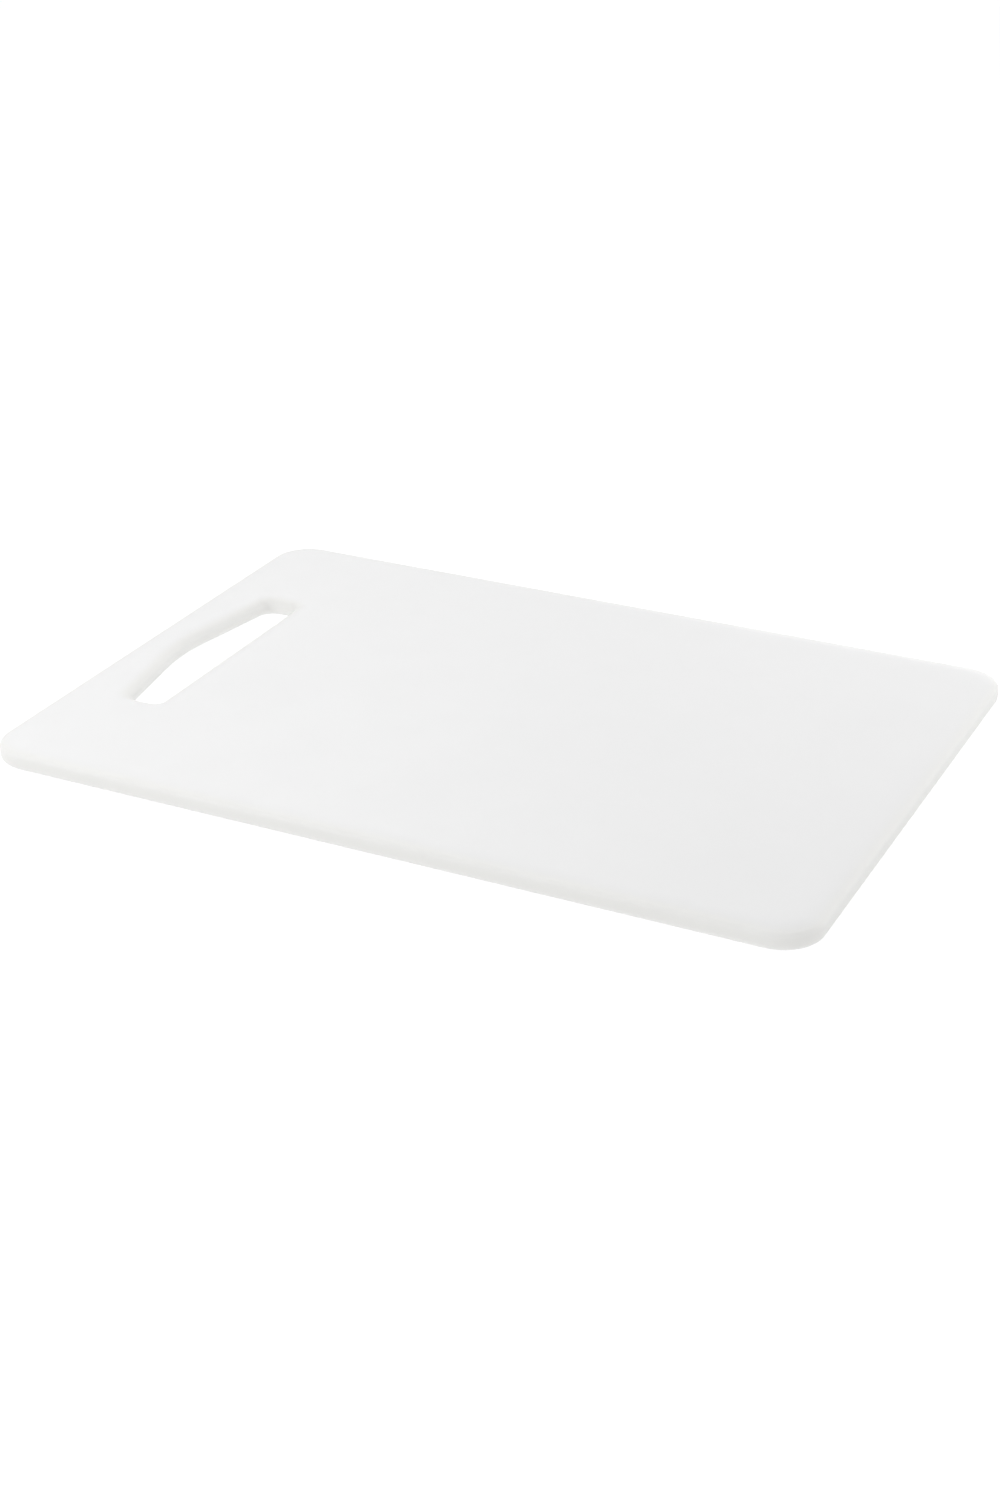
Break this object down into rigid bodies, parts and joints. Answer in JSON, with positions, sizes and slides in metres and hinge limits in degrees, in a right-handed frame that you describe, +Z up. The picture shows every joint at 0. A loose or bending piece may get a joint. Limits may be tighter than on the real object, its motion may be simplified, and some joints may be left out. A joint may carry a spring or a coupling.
{
  "type": "cutting board",
  "caption": "Flat rectangular cutting board with rounded corners and edges and an arched hand slot near one end, for chopping food on and for carrying or hanging it.",
  "frame": {"origin": "centre of the underside's outer rectangle, on the surface that the board lies on", "axes": "+X along the board's length away from the hand slot, +Y across its width, +Z up out of the cutting surface"},
  "size_m": [0.34, 0.24, 0.009],
  "materials": {
    "polyethylene": "matte white polyethylene, finely grained and slightly translucent at the edges"
  },
  "bodies": {
    "root": {"board": "polyethylene"}
  },
  "joints": []
}
